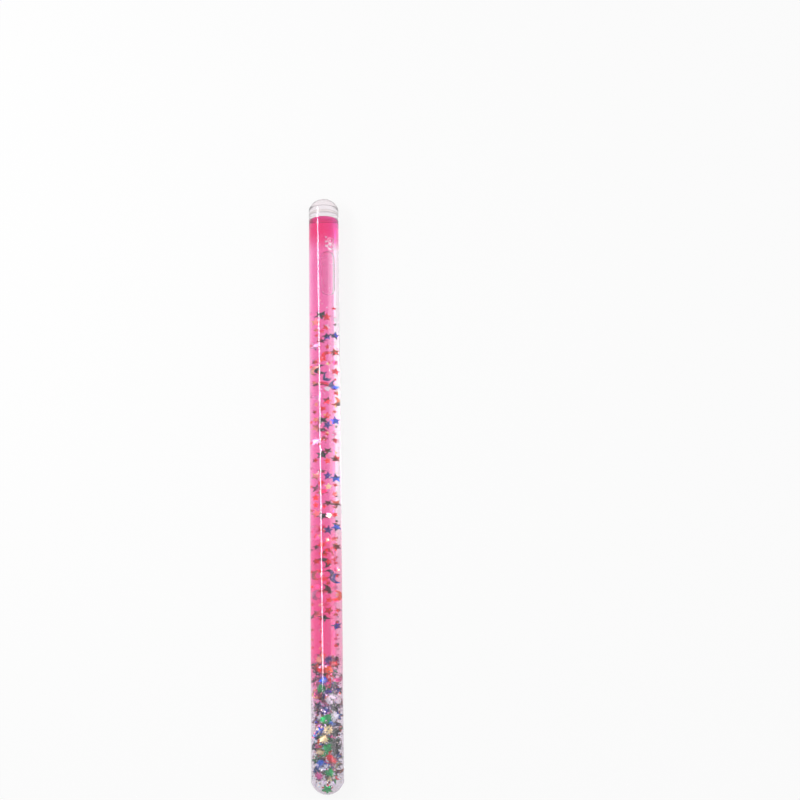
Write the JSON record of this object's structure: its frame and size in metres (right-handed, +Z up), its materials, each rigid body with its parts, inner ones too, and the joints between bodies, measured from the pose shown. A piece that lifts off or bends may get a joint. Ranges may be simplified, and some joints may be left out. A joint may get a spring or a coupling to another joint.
{
  "type": "toy wand",
  "caption": "Clear tube wand with round ends, filled with pink liquid in which foil stars and moons drift and settle when it is tipped.",
  "frame": {"origin": "on the ground below the middle of the lying wand", "axes": "+Y along the wand toward its tip, the end with the air bubble; +Z up from the ground"},
  "size_m": [0.016, 0.31, 0.016],
  "materials": {
    "clear_tube": "polished",
    "clear_plug": "polished",
    "bond": "gloss",
    "pink_liquid": "gloss",
    "red_foil": "polished",
    "gold_foil": "polished",
    "green_foil": "polished",
    "blue_foil": "polished",
    "purple_foil": "polished",
    "silver_foil": "polished",
    "pink_foil": "polished",
    "orange_foil": "polished"
  },
  "bodies": {
    "wand": {"tube": "clear_tube", "tip_plug": "clear_plug", "bond_ring": "bond", "liquid": "pink_liquid", "settled_red_stars": "red_foil", "settled_red_moons": "red_foil", "settled_gold_stars": "gold_foil", "settled_gold_moons": "gold_foil", "settled_green_stars": "green_foil", "settled_green_moons": "green_foil", "settled_blue_stars": "blue_foil", "settled_blue_moons": "blue_foil", "settled_purple_stars": "purple_foil", "settled_purple_moons": "purple_foil", "settled_silver_stars": "silver_foil", "settled_silver_moons": "silver_foil", "settled_pink_stars": "pink_foil", "settled_pink_moons": "pink_foil", "settled_orange_stars": "orange_foil", "settled_orange_moons": "orange_foil"},
    "upper_flakes": {"drifting_red_stars": "red_foil", "drifting_red_moons": "red_foil", "drifting_purple_stars": "purple_foil", "drifting_purple_moons": "purple_foil"},
    "left_flakes": {"drifting_gold_stars": "gold_foil", "drifting_gold_moons": "gold_foil", "drifting_silver_stars": "silver_foil", "drifting_silver_moons": "silver_foil"},
    "lower_flakes": {"drifting_green_stars": "green_foil", "drifting_green_moons": "green_foil", "drifting_pink_stars": "pink_foil", "drifting_pink_moons": "pink_foil"},
    "right_flakes": {"drifting_blue_stars": "blue_foil", "drifting_blue_moons": "blue_foil", "drifting_orange_stars": "orange_foil", "drifting_orange_moons": "orange_foil"}
  },
  "joints": [
    {"name": "upper_drift", "type": "slide", "parent": "wand", "child": "upper_flakes", "axis": [0, 1, 0], "range_m": [-0.0157, 0.0095], "deforming": ["liquid"]},
    {"name": "left_drift", "type": "slide", "parent": "wand", "child": "left_flakes", "axis": [0, 1, 0], "range_m": [-0.0143, 0.0117], "deforming": ["liquid"]},
    {"name": "lower_drift", "type": "slide", "parent": "wand", "child": "lower_flakes", "axis": [0, 1, 0], "range_m": [-0.0125, 0.0503], "deforming": ["liquid"]},
    {"name": "right_drift", "type": "slide", "parent": "wand", "child": "right_flakes", "axis": [0, 1, 0], "range_m": [-0.0086, 0.0184], "deforming": ["liquid"]}
  ]
}
